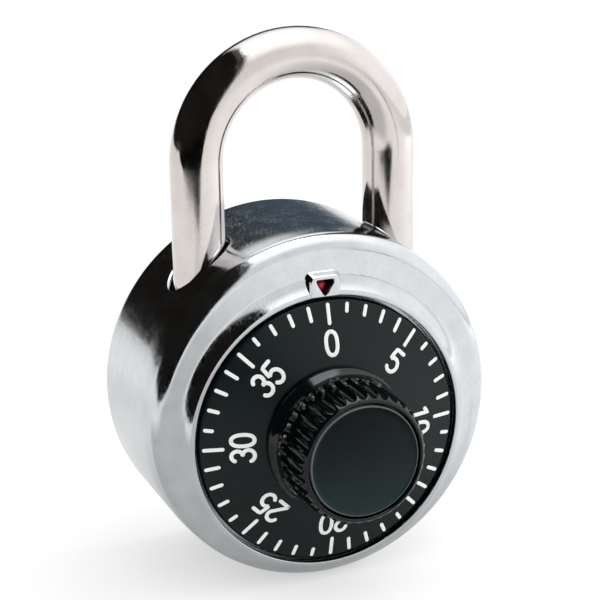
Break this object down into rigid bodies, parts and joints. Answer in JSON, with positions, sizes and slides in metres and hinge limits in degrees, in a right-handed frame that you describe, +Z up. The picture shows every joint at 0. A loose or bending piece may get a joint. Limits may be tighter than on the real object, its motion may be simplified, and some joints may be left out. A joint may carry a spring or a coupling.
{
  "type": "combination padlock",
  "caption": "Round combination padlock with a turning numbered dial, a fluted knob, a spring latch, gated wheels inside and a sliding shackle.",
  "frame": {"origin": "centre of the flat back face, on the axis of the round case", "axes": "+Y out of the back (the dial faces -Y), +Z up through the shackle, +X to the right seen from the front"},
  "size_m": [0.048, 0.0358, 0.0734],
  "materials": {
    "polished_steel": "stainless steel, polished side wall, satin face",
    "shackle_steel": "hardened steel bar, bright chrome plate with faint draw lines",
    "zinc_plate": "zinc plated sheet steel, dull sheen",
    "spring_steel": "oiled spring steel, dark",
    "brass": "turned brass, lightly tarnished",
    "dial_black": "black anodised, satin",
    "knob_black": "black moulded, glossy",
    "mark_white": "filled marks and numbers, off-white enamel",
    "index_red": "red enamel, semi-gloss"
  },
  "bodies": {
    "casing": {"outer_shell": "polished_steel", "index_marker": "index_red", "inner_case": "zinc_plate", "bearing_plate": "zinc_plate", "spindle_bushing": "brass", "dial_spring": "spring_steel", "wheel_post": "brass", "spacer_1": "brass", "spacer_2": "brass", "wheel_spring": "spring_steel", "latch_post": "zinc_plate", "latch_clip": "spring_steel", "latch_spring": "spring_steel", "spring_pin": "zinc_plate", "heel_guide": "zinc_plate", "guide_rivet_1": "zinc_plate", "guide_rivet_2": "zinc_plate"},
    "dial_and_spindle": {"dial": "dial_black", "knob": "knob_black", "knob_cap": "knob_black", "spindle": "brass", "spindle_ring": "spring_steel", "drive_cam": "zinc_plate"},
    "second_wheel": {"wheel_2": "zinc_plate"},
    "first_wheel": {"wheel_1": "zinc_plate"},
    "locking_latch": {"latch": "zinc_plate", "fence_bar": "spring_steel"},
    "shackle_bar": {"shackle": "shackle_steel", "heel_ring": "spring_steel"}
  },
  "joints": [
    {"name": "dial_spin", "type": "hinge", "parent": "casing", "child": "dial_and_spindle", "pos_m": [0, -0.0235, -0.0027], "axis": [0, -1, 0], "continuous": true},
    {"name": "second_wheel_pickup", "type": "hinge", "parent": "dial_and_spindle", "child": "second_wheel", "pos_m": [0, -0.0057, -0.0027], "axis": [0, -1, 0], "range_deg": [-168, 168]},
    {"name": "first_wheel_pickup", "type": "hinge", "parent": "second_wheel", "child": "first_wheel", "pos_m": [0, -0.0037, -0.0027], "axis": [0, -1, 0], "range_deg": [-168, 168]},
    {"name": "shackle_lift", "type": "slide", "parent": "casing", "child": "shackle_bar", "axis": [0, 0, 1], "range_m": [0, 0.012]},
    {"name": "latch_swing", "type": "hinge", "parent": "casing", "child": "locking_latch", "pos_m": [-0.0146, -0.0124, -0.0098], "axis": [0, 1, 0], "range_deg": [0, 21], "deforming": ["latch_spring"]}
  ],
  "couplings": [
    {"joint": "latch_swing", "follows": "shackle_lift", "rad_per_m": 30}
  ]
}
